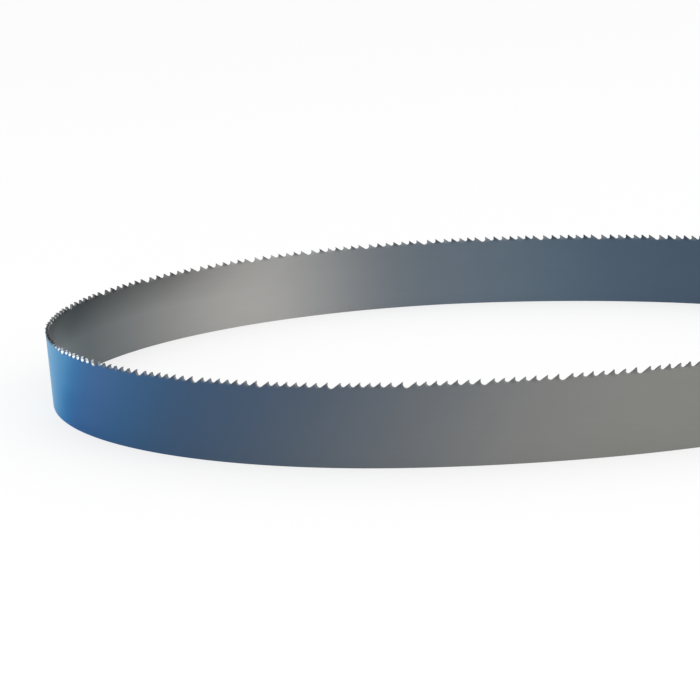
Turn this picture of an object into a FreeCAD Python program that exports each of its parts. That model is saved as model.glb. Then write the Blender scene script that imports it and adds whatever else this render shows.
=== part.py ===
import FreeCAD, Part
import math
import os

import Sketcher
from FreeCAD import Placement, Rotation, Vector

# Band saw blade: one closed loop of steel band, standing on its back edge with its teeth up.
# Millimetres. +X runs along the loop's longer way towards its fuller end, +Z is up, and the
# origin is the middle of the loop's box, on the surface that the back edge stands on.
# Seen from above, the teeth point counterclockwise.

NAME = "blade"

SIZES = [
    ("band_width", 27.0, "back edge to tooth tips"),
    ("band_thickness", 0.9, "of the steel strip"),
    ("left_reach", 142.4, "widest chord to the tight end, on the strip's middle line"),
    ("right_reach", 173.2, "widest chord to the full end, on the strip's middle line"),
    ("half_breadth", 109.2, "long axis to the widest point, on the strip's middle line"),
    ("back_corner", 0.15, "chamfer dressed on the back edge's corners"),
    ("group_length", 23.5, "one group of teeth, before it is fitted to the loop"),
    ("first_tip", 13.7, "from the full end's middle to a straight tooth's tip"),
    ("gap_one", 14.0, "tip to tip before the straight tooth, in shares of a group"),
    ("gap_two", 10.0, "tip to tip, in the same shares"),
    ("gap_three", 10.3, "tip to tip, in the same shares"),
    ("gap_four", 10.7, "tip to tip, in the same shares"),
    ("gap_five", 10.3, "tip to tip, in the same shares"),
    ("gap_six", 11.3, "tip to tip, in the same shares"),
    ("gap_seven", 11.3, "tip to tip, in the same shares"),
    ("depth_per_gap", 0.45, "gullet depth over the distance between its two tips"),
    ("back_slope", 35.0, "degrees, a tooth's back to the length of the band"),
    ("hook", 4.0, "degrees that a tooth's face leans forward"),
    ("tip_land", 0.08, "flat left on a tooth's tip"),
    ("tooth_set", 0.25, "sideways bend of a set tooth at its tip"),
    ("bent_height", 0.5, "top of a tooth that is bent, above the gullets' rounding"),
]
GAP_NAMES = ["gap_one", "gap_two", "gap_three", "gap_four", "gap_five", "gap_six", "gap_seven"]

# Each group is one straight tooth, then three pairs bent outwards and inwards.
STRAIGHT = 0
OUTWARD = 1
INWARD = -1
SETTING = [STRAIGHT, OUTWARD, INWARD, OUTWARD, INWARD, OUTWARD, INWARD]

# Steps that the middle line is measured in, flats that round a gullet's bottom, what a cutter
# runs past the steel on each side, and the widest gap that is closed when faces are sewn.
LINE_STEPS = 2000
ROUND_FLATS = 5
OVERRUN = 0.6
SEWING_GAP = 0.001


def make_sheet(doc):
    """The driving dimensions, one named cell each."""
    sheet = doc.addObject("Spreadsheet::Sheet", "sizes")
    for row, (alias, value, meaning) in enumerate(SIZES, start=1):
        sheet.set(f"A{row}", alias)
        sheet.set(f"B{row}", str(value))
        sheet.set(f"C{row}", meaning)
        sheet.setAlias(f"B{row}", alias)
    doc.recompute()
    return sheet


def bind(sketch, constraint, name, formula):
    """Add a constraint under a name, driven by a formula of the sheet's cells."""
    sketch.renameConstraint(sketch.addConstraint(constraint), name)
    sketch.setExpression(f"Constraints.{name}", formula)


def add_half_loop(sketch, sheet, reach_name, middle_angle):
    """Half an ellipse on one side of the widest chord, held by the sheet's sizes."""
    reach = getattr(sheet, reach_name)
    ellipse = Part.Ellipse(Vector(0, 0, 0), reach, sheet.half_breadth)
    quarter = math.pi / 2
    half = Part.ArcOfEllipse(ellipse, middle_angle - quarter, middle_angle + quarter)
    arc = sketch.addGeometry(half, False)
    sketch.exposeInternalGeometry(arc)
    long_axis = arc + 1
    short_axis = arc + 2
    sketch.addConstraint(Sketcher.Constraint("Coincident", arc, 3, -1, 1))
    sketch.addConstraint(Sketcher.Constraint("Horizontal", long_axis))
    sketch.addConstraint(Sketcher.Constraint("PointOnObject", arc, 1, -2))
    sketch.addConstraint(Sketcher.Constraint("PointOnObject", arc, 2, -2))
    length = Sketcher.Constraint("Distance", long_axis, 2 * reach)
    bind(sketch, length, f"{reach_name}_axis", f"2 * sizes.{reach_name}")
    breadth = Sketcher.Constraint("Distance", short_axis, 2 * sheet.half_breadth)
    bind(sketch, breadth, f"{reach_name}_breadth", "2 * sizes.half_breadth")


def make_loop_line(doc, sheet):
    """The strip's middle line: a tight half ellipse on the left and a full one on the right."""
    line = doc.addObject("Sketcher::SketchObject", "loop_line")
    add_half_loop(line, sheet, "right_reach", 0)
    add_half_loop(line, sheet, "left_reach", math.pi)
    return line


def make_section(doc, name, corners):
    """A closed outline across the strip where the loop is widest. Each corner is a pair of
    formulas: its distance from the long axis and its height."""
    section = doc.addObject("Sketcher::SketchObject", name)
    section.Placement = Placement(Vector(0, 0, 0), Rotation(90, 0, 90))
    count = len(corners)
    spots = [Vector(index, index % 2, 0) for index in range(count)]
    for index in range(count):
        ahead = (index + 1) % count
        section.addGeometry(Part.LineSegment(spots[index], spots[ahead]), False)
    for index in range(count):
        ahead = (index + 1) % count
        section.addConstraint(Sketcher.Constraint("Coincident", index, 2, ahead, 1))
    for index, (across, height) in enumerate(corners):
        for direction, formula in (("DistanceX", across), ("DistanceY", height)):
            distance = Sketcher.Constraint(direction, -1, 1, index, 1, 1.0)
            bind(section, distance, f"{direction}_{index}", formula)
    return section


def sweep(doc, name, line, section):
    """A ring of the section's shape, run once round the loop."""
    ring = doc.addObject("Part::Sweep", name)
    ring.Sections = [section]
    ring.Spine = (line, ["Edge1", "Edge2"])
    ring.Solid = True
    ring.Frenet = True
    return ring


def make_band(doc, line):
    """The strip from its back edge up to the line that set teeth are bent along."""
    near = "sizes.half_breadth - sizes.band_thickness / 2"
    far = "sizes.half_breadth + sizes.band_thickness / 2"
    top = "sizes.band_width - sizes.bent_height"
    corners = [
        (f"{near} + sizes.back_corner", "0"),
        (f"{far} - sizes.back_corner", "0"),
        (far, "sizes.back_corner"),
        (far, top),
        (near, top),
        (near, "sizes.back_corner"),
    ]
    return sweep(doc, "band", line, make_section(doc, "band_section", corners))


def make_tooth_row(doc, line, name, side):
    """The strip above the bend line, leaning to one side by the tooth set, or upright."""
    near = "sizes.half_breadth - sizes.band_thickness / 2"
    far = "sizes.half_breadth + sizes.band_thickness / 2"
    lean = f"{side} * sizes.tooth_set"
    low = "sizes.band_width - sizes.bent_height"
    corners = [
        (near, low),
        (far, low),
        (f"{far} + {lean}", "sizes.band_width"),
        (f"{near} + {lean}", "sizes.band_width"),
    ]
    return sweep(doc, name, line, make_section(doc, f"{name}_section", corners))


class MiddleLine:
    """The strip's middle line, measured counterclockwise from the full end's middle."""

    def __init__(self, sheet):
        self.right_reach = sheet.right_reach
        self.left_reach = sheet.left_reach
        self.half_breadth = sheet.half_breadth
        self.angles = [2 * math.pi * step / LINE_STEPS for step in range(LINE_STEPS + 1)]
        self.lengths = [0.0]
        for start, end in zip(self.angles, self.angles[1:]):
            step = self.point(end).distanceToPoint(self.point(start))
            self.lengths.append(self.lengths[-1] + step)
        self.length = self.lengths[-1]

    def reach(self, angle):
        return self.right_reach if math.cos(angle) > 0 else self.left_reach

    def point(self, angle):
        return Vector(
            self.reach(angle) * math.cos(angle), self.half_breadth * math.sin(angle), 0
        )

    def frame(self, along):
        """The point, forward direction and outward direction at a length along the line."""
        along = along % self.length
        low = 0
        high = LINE_STEPS
        while high - low > 1:
            middle = (low + high) // 2
            if self.lengths[middle] <= along:
                low = middle
            else:
                high = middle
        share = (along - self.lengths[low]) / (self.lengths[high] - self.lengths[low])
        angle = self.angles[low] + share * (self.angles[high] - self.angles[low])
        forward = Vector(
            -self.reach(angle) * math.sin(angle), self.half_breadth * math.cos(angle), 0
        )
        forward.normalize()
        return self.point(angle), forward, Vector(forward.y, -forward.x, 0)


class Tooth:
    """A tooth's tip, the gap back to the tip behind it, and the way it is bent."""

    def __init__(self, tip, gap, side):
        self.tip = tip
        self.gap = gap
        self.side = side


def lay_out_teeth(sheet, line):
    """Whole groups of teeth round the loop, in the direction that they point."""
    shares = [getattr(sheet, name) for name in GAP_NAMES]
    groups = max(1, round(line.length / sheet.group_length))
    unit = line.length / (groups * sum(shares))
    teeth = []
    tip = sheet.first_tip - shares[0] * unit
    for _ in range(groups):
        for share, side in zip(shares, SETTING):
            tip += share * unit
            teeth.append(Tooth(tip, share * unit, side))
    return teeth


def gullet_cutter(sheet, line, tooth):
    """What is ground out behind a tooth: the face of the tooth behind it, a round gullet and
    the tooth's own sloping back, as one flat outline pushed square through the strip."""
    slope = math.radians(sheet.back_slope)
    lean = math.radians(sheet.hook)
    run = tooth.gap - sheet.tip_land
    depth = sheet.depth_per_gap * tooth.gap

    # The circle that touches the face, the gullet's depth and the back.
    reach_left = run * math.sin(slope) + depth * math.sin(slope) * math.tan(lean)
    spread = math.sin(slope) * (1 + math.sin(lean)) / math.cos(lean)
    radius = (reach_left - depth * math.cos(slope)) / (1 - math.cos(slope) + spread)
    centre_up = radius - depth
    centre_along = (radius + centre_up * math.sin(lean)) / math.cos(lean)

    middle, forward, outward = line.frame(tooth.tip - tooth.gap / 2)
    start = middle - outward * (sheet.band_thickness / 2 + OVERRUN)

    def place(along, up):
        return start + forward * (along - tooth.gap / 2) + Vector(0, 0, sheet.band_width + up)

    def on_round(angle):
        return place(
            centre_along + radius * math.cos(angle), centre_up + radius * math.sin(angle)
        )

    # The slopes run on to just over the tips, where the cutter still clears the one beside it.
    above = sheet.tip_land / 4
    face_top = place(above * math.tan(lean), above)
    back_top = place(run + above / math.tan(slope), above)
    first = math.pi - lean
    turn = (math.pi / 2 + slope + lean) / ROUND_FLATS
    rounding = [on_round(first + turn * step) for step in range(ROUND_FLATS + 1)]
    lift = Vector(0, 0, OVERRUN)
    outline = [face_top, *rounding, back_top, back_top + lift, face_top + lift, face_top]
    through = outward * (sheet.band_thickness + 2 * OVERRUN)
    return Part.Face(Part.makePolygon(outline)).extrude(through)


def cut_gullets(doc, name, ring, cutters):
    """A ring with the gullets ground out of it."""
    tool = doc.addObject("Part::Feature", f"{name}_gullets")
    tool.Shape = Part.makeCompound(cutters)
    cut = doc.addObject("Part::Cut", name)
    cut.Base = ring
    cut.Tool = tool
    cut.Refine = False
    return cut


def cutters_beside(cutters, teeth, side):
    """The gullets on both sides of each tooth that is bent this way."""
    chosen = set()
    for index, tooth in enumerate(teeth):
        if tooth.side == side:
            chosen.update((index, (index + 1) % len(teeth)))
    return [cutters[index] for index in sorted(chosen)]


def is_flat_at(face, height):
    """Whether a face lies level at a height."""
    return max(abs(face.BoundBox.ZMin - height), abs(face.BoundBox.ZMax - height)) < SEWING_GAP


def sew_blade(sheet, line, teeth, band, rows):
    """One solid: the band's faces and each tooth's, without the faces where they meet."""
    bend = sheet.band_width - sheet.bent_height
    faces = [face for face in band.Shape.Faces if not is_flat_at(face, bend)]
    pieces = {side: row.Shape.Solids for side, row in rows.items()}
    centres = {side: [piece.CenterOfMass for piece in group] for side, group in pieces.items()}
    crown = sheet.tip_land + sheet.bent_height / math.tan(math.radians(sheet.back_slope))
    for tooth in teeth:
        spot, _, _ = line.frame(tooth.tip - crown / 2)
        spot.z = bend + sheet.bent_height / 2
        near = min(
            range(len(centres[tooth.side])),
            key=lambda index: centres[tooth.side][index].distanceToPoint(spot),
        )
        tooth_faces = pieces[tooth.side][near].Faces
        faces += [face for face in tooth_faces if not is_flat_at(face, bend)]
    skin = Part.makeCompound(faces)
    skin.sewShape(SEWING_GAP)
    solid = Part.makeSolid(skin.Shells[0])
    if solid.Volume < 0:
        solid.reverse()
    return solid


def make_blade(doc, sheet):
    """The finished blade, centred on its own box."""
    loop_line = make_loop_line(doc, sheet)
    band = make_band(doc, loop_line)
    rows = {
        STRAIGHT: make_tooth_row(doc, loop_line, "straight_row", STRAIGHT),
        OUTWARD: make_tooth_row(doc, loop_line, "outward_row", OUTWARD),
        INWARD: make_tooth_row(doc, loop_line, "inward_row", INWARD),
    }
    line = MiddleLine(sheet)
    teeth = lay_out_teeth(sheet, line)
    cutters = [gullet_cutter(sheet, line, tooth) for tooth in teeth]
    cut_band = cut_gullets(doc, "toothed_band", band, cutters)
    cut_rows = {
        side: cut_gullets(doc, f"{row.Name}_teeth", row, cutters_beside(cutters, teeth, side))
        for side, row in rows.items()
    }
    doc.recompute()
    blade = doc.addObject("Part::Feature", NAME)
    blade.Label = NAME
    blade.Shape = sew_blade(sheet, line, teeth, cut_band, cut_rows)
    blade.Placement = Placement(
        Vector((sheet.left_reach - sheet.right_reach) / 2, 0, 0), Rotation()
    )
    doc.recompute()
    return blade


def check(doc, parts):
    """Stop before anything is written if an object failed or a shape is bad."""
    for item in doc.Objects:
        if "Invalid" in item.State or "Error" in item.State:
            raise RuntimeError(f"{item.Label} did not build: {item.State}")
    for item in parts:
        if item.Shape.isNull() or not item.Shape.isValid() or len(item.Shape.Solids) != 1:
            raise RuntimeError(f"{item.Label} is not one valid solid")


def main():
    doc = FreeCAD.newDocument("band_saw_blade")
    sheet = make_sheet(doc)
    blade = make_blade(doc, sheet)
    check(doc, [blade])
    os.makedirs("parts", exist_ok=True)
    blade.Shape.exportStep(f"parts/{blade.Label}.step")
    box = blade.Shape.optimalBoundingBox(False, False)
    print(f"{blade.Label}: {box.XLength:.2f} x {box.YLength:.2f} x {box.ZLength:.2f} mm, "
          f"{blade.Shape.Volume:.0f} mm3, {len(blade.Shape.Faces)} faces")


main()
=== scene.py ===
import math

import bpy
import numpy as np
from mathutils import Matrix, Vector


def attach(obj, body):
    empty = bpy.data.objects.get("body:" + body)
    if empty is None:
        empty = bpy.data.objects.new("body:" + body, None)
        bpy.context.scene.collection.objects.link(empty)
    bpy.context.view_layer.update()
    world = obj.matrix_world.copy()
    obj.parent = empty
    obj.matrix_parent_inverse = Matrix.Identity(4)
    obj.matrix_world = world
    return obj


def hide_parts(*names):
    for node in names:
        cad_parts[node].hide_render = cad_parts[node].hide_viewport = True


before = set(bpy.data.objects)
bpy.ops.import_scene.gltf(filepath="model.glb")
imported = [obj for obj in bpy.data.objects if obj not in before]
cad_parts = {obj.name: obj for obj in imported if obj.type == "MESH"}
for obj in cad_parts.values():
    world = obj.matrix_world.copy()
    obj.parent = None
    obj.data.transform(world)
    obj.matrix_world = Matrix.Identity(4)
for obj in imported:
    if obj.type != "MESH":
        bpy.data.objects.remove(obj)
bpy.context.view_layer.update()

MM = 0.001

# The band and its loop, in millimetres, as in the solid.
WIDTH = 27.0
THICKNESS = 0.9
LEFT_REACH = 142.4
RIGHT_REACH = 173.2
HALF_BREADTH = 109.2
BACK_CORNER = 0.15
CENTRE_X = (LEFT_REACH - RIGHT_REACH) / 2

# The teeth, in millimetres and degrees. The gaps are shares of one group, the first of them
# before the straight tooth, and the sides say which way each tooth is bent.
GROUP_LENGTH = 23.5
FIRST_TIP = 13.7
GAPS = (14.0, 10.0, 10.3, 10.7, 10.3, 11.3, 11.3)
SIDES = (0, 1, -1, 1, -1, 1, -1)
DEPTH_PER_GAP = 0.45
BACK_SLOPE = math.radians(35)
HOOK = math.radians(4)
TIP_LAND = 0.08
TOOTH_SET = 0.25
BENT_HEIGHT = 0.5

# How finely the mesh follows them. The walls' highest row of corners is just under the gullets,
# and the least step keeps their columns in order where a hooked tooth face leans back.
LINE_STEPS = 20000
GULLET_STEPS = 8
CORNER_STEPS = 3
WALL_HEIGHTS = (24.9, 16.0, 8.0)
LEAST_STEP = 0.001

# The mesh's materials: the band, the gullets with the tooth faces, and the tooth backs.
WALL = 0
CUT = 1
BACK = 2

# Painted light and shade on the two sides of a tip: how light they look beside the band, and
# how much pale painted reflection shows there, for a straight tooth, one bent outwards and one
# bent inwards. Along a tooth's back both are this share of that on the outer side, a painted
# shade.
OUTER_TIPS = {0: (1.0, 0.3), 1: (1.2, 0.4), -1: (0.85, 0.2)}
INNER_TIPS = {0: (0.8, 0.25), 1: (0.4, 0.0), -1: (1.0, 0.5)}
BACK_EDGE_SHARE = 0.55

# The camera, from the fit to both strands of the photograph: its place in metres, how far it is
# turned to the left, dipped and rolled in radians, and its focal length in widths of the frame.
CAMERA_PLACE = (0.07256, -0.70040, 0.18817)
CAMERA_TURN = math.radians(10)
CAMERA_DIP = 0.24587
CAMERA_ROLL = -0.07432
FOCAL_OVER_FRAME = 2055.7 / 700
SENSOR = 36.0


class MiddleLine:
    """The strip's middle line, measured counterclockwise from the full end's middle."""

    def __init__(self):
        self.angles = np.linspace(0, 2 * np.pi, LINE_STEPS + 1)
        points = self.points_at(self.angles)
        steps = np.hypot(*np.diff(points, axis=0).T)
        self.lengths = np.concatenate([[0], np.cumsum(steps)])
        self.length = self.lengths[-1]

    def reach(self, angles):
        return np.where(np.cos(angles) > 0, RIGHT_REACH, LEFT_REACH)

    def points_at(self, angles):
        across = HALF_BREADTH * np.sin(angles)
        return np.stack([self.reach(angles) * np.cos(angles) + CENTRE_X, across], axis=-1)

    def places(self, along):
        """Points and outward directions at lengths along the line."""
        angles = np.interp(np.mod(along, self.length), self.lengths, self.angles)
        outward = np.stack(
            [HALF_BREADTH * np.cos(angles), self.reach(angles) * np.sin(angles)], axis=-1
        )
        outward /= np.linalg.norm(outward, axis=-1, keepdims=True)
        return self.points_at(angles), outward


def gullet_outline(gap):
    """From the bend line on the face of the tooth behind, round the gullet, to the bend line on
    this tooth's back: lengths after the tip behind, heights under the tips, and normals."""
    run = gap - TIP_LAND
    depth = DEPTH_PER_GAP * gap
    sine = math.sin(BACK_SLOPE)
    cosine = math.cos(BACK_SLOPE)
    spread = sine * (1 + math.sin(HOOK)) / math.cos(HOOK)
    reach_left = run * sine + depth * sine * math.tan(HOOK)
    radius = (reach_left - depth * cosine) / (1 - cosine + spread)
    centre_up = radius - depth
    centre_along = (radius + centre_up * math.sin(HOOK)) / math.cos(HOOK)
    first = math.pi - HOOK
    turn = math.pi / 2 + BACK_SLOPE + HOOK
    face_normal = (math.cos(HOOK), -math.sin(HOOK))
    back_normal = (-sine, cosine)
    outline = [(-BENT_HEIGHT * math.tan(HOOK), -BENT_HEIGHT, face_normal)]
    for step in range(GULLET_STEPS + 1):
        angle = first + turn * step / GULLET_STEPS
        along = centre_along + radius * math.cos(angle)
        up = centre_up + radius * math.sin(angle)
        outline.append((along, up, (-math.cos(angle), -math.sin(angle))))
    outline.append((run - BENT_HEIGHT / math.tan(BACK_SLOPE), -BENT_HEIGHT, back_normal))
    return outline


class BladeMesh:
    """Collects corners, faces, exact corner normals and band coordinates."""

    def __init__(self, line):
        self.line = line
        self.spots = []
        self.shades = []
        self.reflection_share = []
        self.faces = []
        self.normals = []
        self.kinds = []

    def spot(self, along, height, across, shade=1.0, reflection_share=0.0):
        """A corner at a length, a height and a distance out of the middle line."""
        self.spots.append((along, height, across))
        self.shades.append(shade)
        self.reflection_share.append(reflection_share)
        return len(self.spots) - 1

    def face(self, corners, normals, kind):
        """Each normal is (forward, up, outward) in the band's own directions."""
        self.faces.append(corners)
        self.normals.append(normals)
        self.kinds.append(kind)

    def build(self, name):
        """The finished piece. Its band coordinates are the length along the loop and the height,
        in metres, with the height negative on the inner side."""
        spots = np.array(self.spots)
        points, outward = self.line.places(spots[:, 0])
        flat = points + outward * spots[:, 2:3]
        places = np.concatenate([flat, spots[:, 1:2]], axis=1) * MM
        forward = np.stack([-outward[:, 1], outward[:, 0]], axis=1)
        mesh = bpy.data.meshes.new(name)
        mesh.from_pydata(places.tolist(), [], self.faces)
        corners = np.concatenate([np.array(face) for face in self.faces])
        local = np.concatenate([np.array(normal) for normal in self.normals])
        world = np.zeros((len(corners), 3))
        world[:, :2] = forward[corners] * local[:, 0:1] + outward[corners] * local[:, 2:3]
        world[:, 2] = local[:, 1]
        world /= np.linalg.norm(world, axis=1, keepdims=True)
        mesh.polygons.foreach_set("use_smooth", [True] * len(self.faces))
        mesh.polygons.foreach_set("material_index", self.kinds)
        layer = mesh.uv_layers.new(name="band")
        side = np.where(spots[corners, 2] > 0, 1.0, -1.0)
        band = np.stack([spots[corners, 0] * MM, spots[corners, 1] * side * MM], axis=1)
        band[:, 0] = self.unwrap(band[:, 0])
        layer.data.foreach_set("uv", band.ravel().tolist())
        # Each corner's painted shade and its share of pale painted reflection.
        for title, values in (("tooth_shade", self.shades), ("tooth_reflection", self.reflection_share)):
            mesh.attributes.new(title, "FLOAT", "POINT").data.foreach_set("value", values)
        mesh.update()
        mesh.normals_split_custom_set(world.tolist())
        mesh.validate()
        piece = bpy.data.objects.new(name, mesh)
        bpy.context.collection.objects.link(piece)
        return piece

    def unwrap(self, along):
        """Lengths that stay together within each face where the loop closes."""
        start = 0
        total = self.line.length * MM
        for face in self.faces:
            end = start + len(face)
            part = along[start:end]
            if part.max() - part.min() > total / 2:
                part[part < total / 2] += total
            start = end
        return along


def lay_out_teeth(line):
    """Tip, gap and side of every tooth, in whole groups round the loop."""
    groups = round(line.length / GROUP_LENGTH)
    unit = line.length / (groups * sum(GAPS))
    teeth = []
    tip = FIRST_TIP - GAPS[0] * unit
    for _ in range(groups):
        for share, side in zip(GAPS, SIDES):
            tip += share * unit
            teeth.append((tip, share * unit, side))
    return teeth


def side_look(tip_look, rise, edge=1.0):
    """Painted shade and painted reflection share on a tooth's side, at a share of the way up from
    the gullet to where the tooth is bent, with an edge share that goes over both."""
    shade, reflection_share = tip_look
    return 1 + rise * (shade * edge - 1), rise * reflection_share * edge


def back_edge_profile():
    """Across and height of the rounded back edge, from the outer wall to the inner one, with
    the normals that go with them."""
    half = THICKNESS / 2
    profile = []
    for side in (1, -1):
        for step in range(CORNER_STEPS + 1):
            angle = math.pi / 2 * (step if side > 0 else CORNER_STEPS - step) / CORNER_STEPS
            across = side * (half - BACK_CORNER + BACK_CORNER * math.cos(angle))
            height = BACK_CORNER * (1 - math.sin(angle))
            profile.append((across, height, (0, -math.sin(angle), side * math.cos(angle))))
    return profile


def make_blade(line):
    """The whole blade: walls, rounded back edge, gullets and bent teeth."""
    mesh = BladeMesh(line)
    teeth = lay_out_teeth(line)
    half = THICKNESS / 2
    out = (0, 0, 1)
    into = (0, 0, -1)
    edge = back_edge_profile()
    columns = []
    tips = []
    for index, (tip, gap, side) in enumerate(teeth):
        behind = tip - gap
        base = behind
        gullet = gullet_outline(gap)
        for step, (along, up, normal) in enumerate(gullet):
            place = behind + along
            base = max(place, base + LEAST_STEP)
            on_back = step > len(gullet) / 2
            side_before = SIDES[index % len(SIDES) - 1]
            nearest = side if on_back else side_before
            # Painted shade and reflections on the tooth sides grow from the gullet to the bend,
            # with painted shade along the outer back.
            rise = 1 + (up + BENT_HEIGHT) / (DEPTH_PER_GAP * gap - BENT_HEIGHT)
            outer_look = side_look(OUTER_TIPS[nearest], rise, BACK_EDGE_SHARE if on_back else 1.0)
            inner_look = side_look(INNER_TIPS[nearest], rise)
            top = [
                mesh.spot(place, WIDTH + up, half, *outer_look),
                mesh.spot(place, WIDTH + up, -half, *inner_look),
            ]
            outer = [mesh.spot(base, height, half) for height in WALL_HEIGHTS]
            bottom = [mesh.spot(base, height, across) for across, height, _ in edge]
            inner = [mesh.spot(base, height, -half) for height in reversed(WALL_HEIGHTS)]
            columns.append((top, outer + bottom + inner, (normal[0], normal[1], 0)))
        lean = side * TOOTH_SET
        # The tips carry the fullest painted shade and reflections, darker along the outer back.
        crown = [
            [
                mesh.spot(place, WIDTH, lean + half, *side_look(OUTER_TIPS[side], 1, edge_shade)),
                mesh.spot(place, WIDTH, lean - half, *side_look(INNER_TIPS[side], 1)),
            ]
            for place, edge_shade in ((tip - TIP_LAND, BACK_EDGE_SHARE), (tip, 1.0))
        ]
        tips.append((len(columns) - 1, crown, side))

    count = len(columns)
    wall_normals = [out] * len(WALL_HEIGHTS)
    wall_normals += [normal for _, _, normal in edge]
    wall_normals += [into] * len(WALL_HEIGHTS)
    for index in range(count):
        top, wall, _ = columns[index]
        next_top, next_wall, _ = columns[(index + 1) % count]
        mesh.face([top[0], wall[0], next_wall[0], next_top[0]], [out] * 4, WALL)
        mesh.face([wall[-1], top[1], next_top[1], next_wall[-1]], [into] * 4, WALL)
        for row in range(len(wall) - 1):
            above = wall_normals[row]
            below = wall_normals[row + 1]
            corners = [wall[row], wall[row + 1], next_wall[row + 1], next_wall[row]]
            mesh.face(corners, [above, below, below, above], WALL)
    backs = {last for last, _, _ in tips}
    for index in range(count):
        if index in backs:
            continue
        top, _, normal = columns[index]
        next_top, _, next_normal = columns[(index + 1) % count]
        corners = [top[1], top[0], next_top[0], next_top[1]]
        kind = BACK if (index + 1) % count in backs else CUT
        mesh.face(corners, [normal, normal, next_normal, next_normal], kind)

    sine = math.sin(BACK_SLOPE)
    cosine = math.cos(BACK_SLOPE)
    bend = math.atan2(TOOTH_SET, BENT_HEIGHT)
    for last, crown, side in tips:
        back = columns[last][0]
        face = columns[(last + 1) % count][0]
        rear, front = crown
        tilt = side * bend
        outer = (0, -math.sin(tilt), math.cos(tilt))
        outer_foot = (0, -math.sin(tilt / 2), math.cos(tilt / 2))
        inner = (0, math.sin(tilt), -math.cos(tilt))
        inner_foot = (0, math.sin(tilt / 2), -math.cos(tilt / 2))
        mesh.face([back[0], face[0], front[0], rear[0]], [outer_foot] * 2 + [outer] * 2, WALL)
        mesh.face([face[1], back[1], rear[1], front[1]], [inner_foot] * 2 + [inner] * 2, WALL)
        mesh.face([back[1], back[0], rear[0], rear[1]], [(-sine, cosine, 0)] * 4, BACK)
        mesh.face([rear[1], rear[0], front[0], front[1]], [(0, 1, 0)] * 4, BACK)
        forward = (math.cos(HOOK), -math.sin(HOOK), 0)
        mesh.face([front[1], front[0], face[0], face[1]], [forward] * 4, CUT)
    return mesh.build("saw_blade")


def link(tree, source, target):
    tree.links.new(source, target)


def node(tree, kind, **values):
    made = tree.nodes.new(kind)
    for name, value in values.items():
        setattr(made, name, value)
    return made


def srgb(red, green, blue):
    """A colour as the eye reads it, from 0 to 255, turned into the shader's own scale."""
    parts = [channel / 255 for channel in (red, green, blue)]
    linear = [
        part / 12.92 if part <= 0.04045 else ((part + 0.055) / 1.055) ** 2.4 for part in parts
    ]
    return (*linear, 1.0)


# The tone of the band round the loop, at half its width: painted reflections of the studio in
# blue and grey, with painted highlights and shade. Each stop is a share of the way round from
# the full end's middle, counterclockwise, and a colour from 0 to 255.
OUTER_REFLECTION_TONES = (
    (0.00, (128, 128, 126)),
    (0.04, (128, 128, 126)),
    (0.12, (106, 111, 116)),
    (0.24, (88, 98, 110)),
    (0.38, (80, 96, 114)),
    (0.45, (66, 98, 136)),
    (0.495, (82, 134, 182)),
    (0.535, (180, 217, 238)),
    (0.565, (90, 151, 198)),
    (0.585, (89, 119, 163)),
    (0.61, (66, 104, 143)),
    (0.64, (64, 88, 117)),
    (0.69, (80, 93, 108)),
    (0.74, (110, 114, 118)),
    (0.78, (132, 132, 130)),
    (0.84, (138, 138, 134)),
    (0.96, (128, 128, 126)),
)
INNER_REFLECTION_TONES = (
    (0.00, (100, 106, 112)),
    (0.04, (100, 106, 112)),
    (0.12, (76, 90, 110)),
    (0.20, (82, 100, 118)),
    (0.26, (106, 121, 134)),
    (0.31, (112, 120, 128)),
    (0.35, (168, 168, 166)),
    (0.38, (184, 182, 179)),
    (0.42, (147, 148, 146)),
    (0.46, (114, 119, 121)),
    (0.49, (118, 127, 130)),
    (0.52, (210, 216, 218)),
    (0.56, (150, 154, 156)),
    (0.62, (110, 113, 115)),
    (0.80, (124, 123, 120)),
    (0.96, (100, 106, 112)),
)

# The same painted reflections for the gullets with the tooth faces, and for the tooth backs,
# with painted shade along the backs.
GULLET_TONES = (
    (0.00, (160, 162, 164)),
    (0.30, (130, 134, 138)),
    (0.38, (190, 190, 188)),
    (0.44, (136, 138, 140)),
    (0.48, (176, 182, 184)),
    (0.525, (238, 242, 244)),
    (0.57, (120, 126, 132)),
    (0.59, (110, 116, 122)),
    (0.61, (196, 200, 204)),
    (0.68, (176, 182, 186)),
    (0.80, (160, 162, 162)),
)
BACK_TONES = (
    (0.00, (76, 78, 80)),
    (0.25, (54, 60, 68)),
    (0.38, (84, 84, 84)),
    (0.46, (60, 64, 66)),
    (0.525, (130, 134, 138)),
    (0.56, (50, 56, 62)),
    (0.60, (14, 20, 26)),
    (0.68, (26, 32, 38)),
    (0.76, (52, 54, 56)),
    (0.84, (66, 68, 68)),
)

# Pale painted reflections on the teeth's sides, round the loop.
TOOTH_REFLECTION_TONES = (
    (0.00, (170, 170, 168)),
    (0.30, (160, 166, 172)),
    (0.38, (214, 214, 212)),
    (0.46, (84, 88, 92)),
    (0.54, (150, 156, 160)),
    (0.60, (150, 160, 168)),
    (0.80, (176, 176, 174)),
)

# The outer painted reflections lean back with height by this many millimetres for each one. In
# the left bend the inner ones darken above half the band's width, a painted shade, by this share
# for each millimetre. A place has a middle and a reach, as shares of the way round.
OUTER_LEAN = 0.55
INNER_TOP_SHADE = 0.036
TOP_SHADE_PLACE = (0.48, 0.12)

# The gullets darken by this share below a height in millimetres, a painted shade in the hollows.
# On the left bend's near side a painted glint lights them below another height. Both changes
# come over the fade, in millimetres.
GULLET_SHADE = 0.6
GULLET_SHADE_TOP = 26.0
GLINT_COLOUR = (0.86, 0.93, 1.0, 1.0)
GLINT_PLACE = (0.577, 0.025)
GLINT_TOP = 25.55
GULLET_FADE = 0.5

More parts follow.
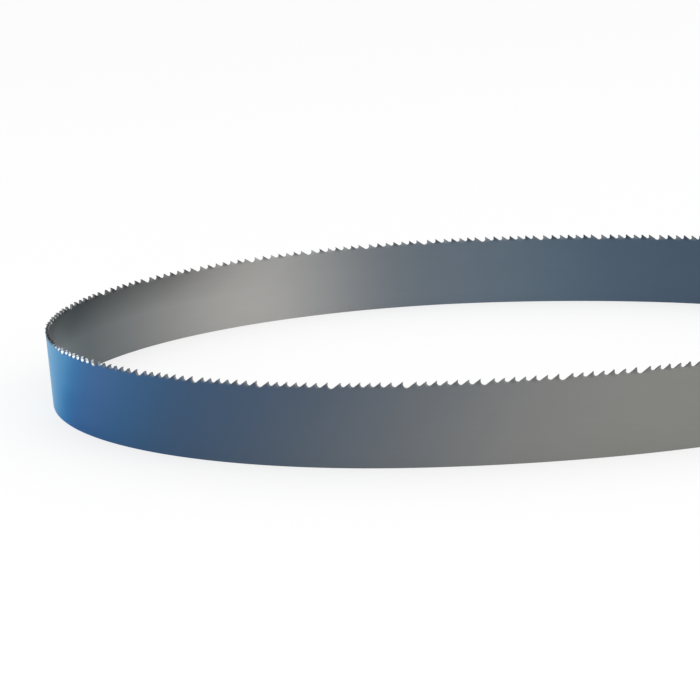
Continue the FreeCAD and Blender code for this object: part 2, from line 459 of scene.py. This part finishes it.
# The weld and the steel ground clean round it: how far each reaches on both sides and over what
# length it fades, in millimetres, its tones, and how strongly it shows.
GROUND_REACH = 12.0
GROUND_FADE = 4.0
GROUND_TONES = ((112, 114, 116), (150, 151, 151))
GROUND_SHOW = 0.5
WELD_REACH = 0.7
WELD_FADE = 0.5
WELD_TONE = (84, 86, 90)
WELD_SHOW = 0.4

# How fine the steel's marks are, for each metre along the band and across it, and how far each
# kind swings the tone, as a share.
GRAIN_SCALE = (60.0, 9000.0)
GRAIN_SWING = 0.08
CLOUD_SCALE = (55.0, 110.0)
CLOUD_SWING = 0.10
GRINDING_SCALE = (5000.0, 120.0)
CUTTER_SCALE = 4000.0
CUTTER_SWING = 0.30

# The roughness of the rolled band and what its clouds and the ground patch add to it, and that
# of the gullets and the tooth backs.
BAND_ROUGHNESS = 0.34
CLOUD_ROUGHNESS = 0.12
GROUND_ROUGHNESS = 0.06
GULLET_ROUGHNESS = 0.25
BACK_ROUGHNESS = 0.35

# The floor: half its side and its depth under the blade in metres, its tone, and the share of
# it that is plain white to the eye and in reflections.
FLOOR_HALF = 6.0
FLOOR_DEPTH = 0.00002
FLOOR_TONE = (0.94, 0.94, 0.94, 1.0)
FLOOR_WHITE = 0.65

# The light: how strong the white surround is, and the lamps' width, places and watts.
SURROUND = 0.96
LAMP_WIDTH = 1.0
LAMPS = {"key": ((-0.4, -0.8, 1.3), 2.5), "fill": ((1.0, -0.3, 1.1), 1.5)}


def new_material(name):
    """A material, with its node tree and its shader."""
    material = bpy.data.materials.new(name)
    material.use_nodes = True
    tree = material.node_tree
    return material, tree, tree.nodes["Principled BSDF"]


def tone_ramp(tree, share, tones):
    """A smooth run of tones along the band."""
    ramp = node(tree, "ShaderNodeValToRGB")
    ramp.color_ramp.interpolation = "B_SPLINE"
    stops = ramp.color_ramp.elements
    stops[0].position = tones[0][0]
    stops[0].color = srgb(*tones[0][1])
    stops[1].position = 1.0
    stops[1].color = srgb(*tones[0][1])
    for position, colour in tones[1:]:
        stops.new(position).color = srgb(*colour)
    link(tree, share, ramp.inputs["Fac"])
    return ramp.outputs["Color"]


def maths(tree, operation, first, second=None, third=None):
    made = node(tree, "ShaderNodeMath", operation=operation)
    for index, value in enumerate((first, second, third)):
        if value is None:
            continue
        if isinstance(value, (int, float)):
            made.inputs[index].default_value = value
        else:
            link(tree, value, made.inputs[index])
    return made.outputs[0]


def band_share(tree, loop_length):
    """The band's coordinates, the height among them, and the share of the way round."""
    band = node(tree, "ShaderNodeUVMap", uv_map="band")
    split = node(tree, "ShaderNodeSeparateXYZ")
    link(tree, band.outputs["UV"], split.inputs[0])
    share = maths(tree, "FRACT", maths(tree, "DIVIDE", split.outputs["X"], loop_length))
    return band.outputs["UV"], split.outputs["Y"], share


def fade_out(tree, value, end, run):
    """1 up to a run before the end, falling to 0 there."""
    fall = maths(tree, "MULTIPLY_ADD", value, -1 / run, end / run)
    return maths(tree, "MINIMUM", maths(tree, "MAXIMUM", fall, 0.0), 1.0)


def closeness(tree, share, place):
    """1 about a place on the loop, falling to 0 at its reach on either side."""
    middle, reach = place
    away = maths(tree, "ABSOLUTE", maths(tree, "SUBTRACT", share, middle))
    return fade_out(tree, away, reach, reach / 2)


def swing(tree, pattern, amount):
    """A pattern from 0 to 1 turned into a scale that swings about 1."""
    return maths(tree, "MULTIPLY_ADD", pattern, amount, 1 - amount / 2)


def stretched_noise(tree, place, scales, detail):
    """Noise with one scale along the band and another across it."""
    scaled = node(tree, "ShaderNodeVectorMath", operation="MULTIPLY")
    scaled.inputs[1].default_value = (*scales, 0.0)
    link(tree, place, scaled.inputs[0])
    noise = node(tree, "ShaderNodeTexNoise", noise_dimensions="2D")
    noise.inputs["Scale"].default_value = 1.0
    noise.inputs["Detail"].default_value = detail
    link(tree, scaled.outputs[0], noise.inputs["Vector"])
    return noise.outputs["Fac"]


def blend(tree, factor, first, second):
    """The first colour, turning into the second as the factor rises."""
    made = node(tree, "ShaderNodeMix", data_type="RGBA")
    for value, name in ((factor, "Factor"), (first, "A"), (second, "B")):
        if isinstance(value, tuple):
            made.inputs[name].default_value = value
        else:
            link(tree, value, made.inputs[name])
    return made.outputs["Result"]


def scaled_colour(tree, colour, scale):
    made = node(tree, "ShaderNodeVectorMath", operation="SCALE")
    link(tree, colour, made.inputs[0])
    link(tree, scale, made.inputs["Scale"])
    return made.outputs[0]


def add_bump(tree, shader, pattern, strength, depth):
    """Relief from a pattern, with its depth in millimetres."""
    bump = node(tree, "ShaderNodeBump")
    bump.inputs["Strength"].default_value = strength
    bump.inputs["Distance"].default_value = depth * MM
    link(tree, pattern, bump.inputs["Height"])
    link(tree, bump.outputs["Normal"], shader.inputs["Normal"])


def satin_steel(name, loop_length):
    """Rolled band: painted reflections and shade as a tone along the loop, fine lengthwise grain,
    faint clouds, painted shade and reflections on the teeth, and the ground patch over the weld."""
    material, tree, shader = new_material(name)
    band, side, share = band_share(tree, loop_length)
    # The tone round the loop paints the studio's reflections, and the inner side gets painted
    # shade at the top of the left bend.
    above = maths(tree, "SUBTRACT", maths(tree, "ABSOLUTE", side), WIDTH / 2 * MM)
    lean = maths(tree, "MULTIPLY_ADD", above, -OUTER_LEAN / loop_length, share)
    outer_reflections = tone_ramp(tree, maths(tree, "FRACT", lean), OUTER_REFLECTION_TONES)
    height_shade = maths(tree, "MULTIPLY", maths(tree, "MAXIMUM", above, 0.0), -INNER_TOP_SHADE / MM)
    shade_scale = maths(tree, "MULTIPLY_ADD", closeness(tree, share, TOP_SHADE_PLACE), height_shade, 1.0)
    inner_reflections = scaled_colour(tree, tone_ramp(tree, share, INNER_REFLECTION_TONES), shade_scale)
    is_outer = maths(tree, "GREATER_THAN", side, 0.0)
    tones = blend(tree, is_outer, inner_reflections, outer_reflections)

    grain = stretched_noise(tree, band, GRAIN_SCALE, detail=3.0)
    clouds = stretched_noise(tree, band, CLOUD_SCALE, detail=4.0)
    streaks = swing(tree, grain, GRAIN_SWING)
    mottle = swing(tree, clouds, CLOUD_SWING)
    # Painted light, shade and pale painted reflections on the teeth's sides.
    tooth = node(tree, "ShaderNodeAttribute", attribute_name="tooth_shade")
    shade = maths(tree, "MULTIPLY", maths(tree, "MULTIPLY", mottle, streaks), tooth.outputs["Fac"])
    reflection_share = node(tree, "ShaderNodeAttribute", attribute_name="tooth_reflection")
    reflection_tones = tone_ramp(tree, share, TOOTH_REFLECTION_TONES)
    with_reflections = blend(tree, reflection_share.outputs["Fac"], scaled_colour(tree, tones, shade), reflection_tones)

    nearer = maths(tree, "MINIMUM", share, maths(tree, "SUBTRACT", 1.0, share))
    from_weld = maths(tree, "MULTIPLY", nearer, loop_length)
    patch = fade_out(tree, from_weld, GROUND_REACH * MM, GROUND_FADE * MM)
    seam = fade_out(tree, from_weld, WELD_REACH * MM, WELD_FADE * MM)
    across_marks = stretched_noise(tree, band, GRINDING_SCALE, detail=3.0)
    ground = blend(tree, across_marks, srgb(*GROUND_TONES[0]), srgb(*GROUND_TONES[1]))
    ground = blend(tree, maths(tree, "MULTIPLY", seam, WELD_SHOW), ground, srgb(*WELD_TONE))
    surface = blend(tree, maths(tree, "MULTIPLY", patch, GROUND_SHOW), with_reflections, ground)
    link(tree, surface, shader.inputs["Base Color"])
    link(tree, surface, shader.inputs["Specular Tint"])

    rough = maths(tree, "MULTIPLY_ADD", clouds, CLOUD_ROUGHNESS, BAND_ROUGHNESS)
    rough = maths(tree, "MULTIPLY_ADD", patch, GROUND_ROUGHNESS, rough)
    link(tree, rough, shader.inputs["Roughness"])
    shader.inputs["Metallic"].default_value = 0.9
    add_bump(tree, shader, grain, strength=0.12, depth=0.03)
    return material


def gullet_light(tree, colour, side, share):
    """Painted shade towards the gullets' bottoms, and a painted glint on the left bend's near
    side.
    """
    height = maths(tree, "ABSOLUTE", side)
    deep = fade_out(tree, height, GULLET_SHADE_TOP * MM, GULLET_FADE * MM)
    low = fade_out(tree, height, GLINT_TOP * MM, GULLET_FADE * MM)
    shade_scale = maths(tree, "MULTIPLY_ADD", deep, -GULLET_SHADE, 1.0)
    glint = maths(tree, "MULTIPLY", low, closeness(tree, share, GLINT_PLACE))
    return blend(tree, glint, scaled_colour(tree, colour, shade_scale), GLINT_COLOUR)


def cut_steel(name, loop_length, tones, roughness, in_gullets=False):
    """Milled or ground faces: painted reflections and shade along the loop, and fine cutter marks.
    """
    material, tree, shader = new_material(name)
    place = node(tree, "ShaderNodeTexCoord")
    scaled = node(tree, "ShaderNodeVectorMath", operation="SCALE")
    scaled.inputs["Scale"].default_value = CUTTER_SCALE
    link(tree, place.outputs["Object"], scaled.inputs[0])
    noise = node(tree, "ShaderNodeTexNoise")
    noise.inputs["Scale"].default_value = 1.0
    noise.inputs["Detail"].default_value = 2.0
    link(tree, scaled.outputs[0], noise.inputs["Vector"])
    marks = noise.outputs["Fac"]
    _, side, share = band_share(tree, loop_length)
    shade = swing(tree, marks, CUTTER_SWING)
    surface = scaled_colour(tree, tone_ramp(tree, share, tones), shade)
    if in_gullets:
        surface = gullet_light(tree, surface, side, share)
    link(tree, surface, shader.inputs["Base Color"])
    shader.inputs["Metallic"].default_value = 1.0
    shader.inputs["Roughness"].default_value = roughness
    add_bump(tree, shader, marks, strength=0.2, depth=0.02)
    return material


def pale_floor():
    """A plain pale sheet under the blade, far wider than the view."""
    mesh = bpy.data.meshes.new("pale_floor")
    signs = ((-1, -1), (1, -1), (1, 1), (-1, 1))
    corners = [(across * FLOOR_HALF, away * FLOOR_HALF, 0) for across, away in signs]
    mesh.from_pydata(corners, [], [(0, 1, 2, 3)])
    floor = bpy.data.objects.new("pale_floor", mesh)
    bpy.context.collection.objects.link(floor)
    floor.location.z = -FLOOR_DEPTH
    material, tree, shader = new_material("pale_floor")
    shader.inputs["Base Color"].default_value = FLOOR_TONE
    shader.inputs["Roughness"].default_value = 0.9
    shader.inputs["Specular IOR Level"].default_value = 0.0
    rays = node(tree, "ShaderNodeLightPath")
    direct = maths(tree, "ADD", rays.outputs["Is Camera Ray"], rays.outputs["Is Glossy Ray"])
    seen = maths(tree, "ADD", direct, rays.outputs["Is Transmission Ray"])
    share = maths(tree, "MULTIPLY", maths(tree, "MINIMUM", seen, 1.0), FLOOR_WHITE)
    white = node(tree, "ShaderNodeEmission")
    white.inputs["Strength"].default_value = 1.0
    paler = node(tree, "ShaderNodeMixShader")
    link(tree, share, paler.inputs[0])
    link(tree, shader.outputs[0], paler.inputs[1])
    link(tree, white.outputs[0], paler.inputs[2])
    link(tree, paler.outputs[0], tree.nodes["Material Output"].inputs["Surface"])
    mesh.materials.append(material)


def soft_lamp(name, place, watts):
    """A broad round lamp that points at the middle of the loop."""
    lamp = bpy.data.lights.new(name, "AREA")
    lamp.shape = "DISK"
    lamp.size = LAMP_WIDTH
    lamp.energy = watts
    holder = bpy.data.objects.new(name, lamp)
    bpy.context.collection.objects.link(holder)
    holder.location = place
    holder.rotation_euler = (-Vector(place)).to_track_quat("-Z", "Y").to_euler()


def studio():
    """An even white surround and two broad soft lamps."""
    world = bpy.data.worlds.new("studio")
    world.use_nodes = True
    background = world.node_tree.nodes["Background"]
    background.inputs["Color"].default_value = (1, 1, 1, 1)
    background.inputs["Strength"].default_value = SURROUND
    bpy.context.scene.world = world
    for name, (place, watts) in LAMPS.items():
        soft_lamp(name, place, watts)


def camera():
    """Where the photograph was taken from, as fitted to the blade."""
    data = bpy.data.cameras.new("camera")
    data.sensor_width = SENSOR
    data.lens = FOCAL_OVER_FRAME * SENSOR
    holder = bpy.data.objects.new("camera", data)
    bpy.context.collection.objects.link(holder)
    ahead = Vector((-math.sin(CAMERA_TURN), math.cos(CAMERA_TURN), 0))
    level = Vector((math.cos(CAMERA_TURN), math.sin(CAMERA_TURN), 0))
    upward = Vector((0, 0, 1))
    look = ahead * math.cos(CAMERA_DIP) - upward * math.sin(CAMERA_DIP)
    top = ahead * math.sin(CAMERA_DIP) + upward * math.cos(CAMERA_DIP)
    right = level * math.cos(CAMERA_ROLL) + top * math.sin(CAMERA_ROLL)
    up = top * math.cos(CAMERA_ROLL) - level * math.sin(CAMERA_ROLL)
    turn = Matrix((right, up, -look)).transposed().to_4x4()
    holder.matrix_world = Matrix.Translation(CAMERA_PLACE) @ turn
    bpy.context.scene.camera = holder


def main():
    line = MiddleLine()
    blade = make_blade(line)
    loop_length = line.length * MM
    for material in (
        satin_steel("satin_steel", loop_length),
        cut_steel("cut_steel", loop_length, GULLET_TONES, GULLET_ROUGHNESS, in_gullets=True),
        cut_steel("ground_steel", loop_length, BACK_TONES, BACK_ROUGHNESS),
    ):
        blade.data.materials.append(material)
    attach(blade, "root")
    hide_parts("blade")
    pale_floor()
    studio()
    camera()
    bpy.context.scene.view_settings.view_transform = "Standard"


main()
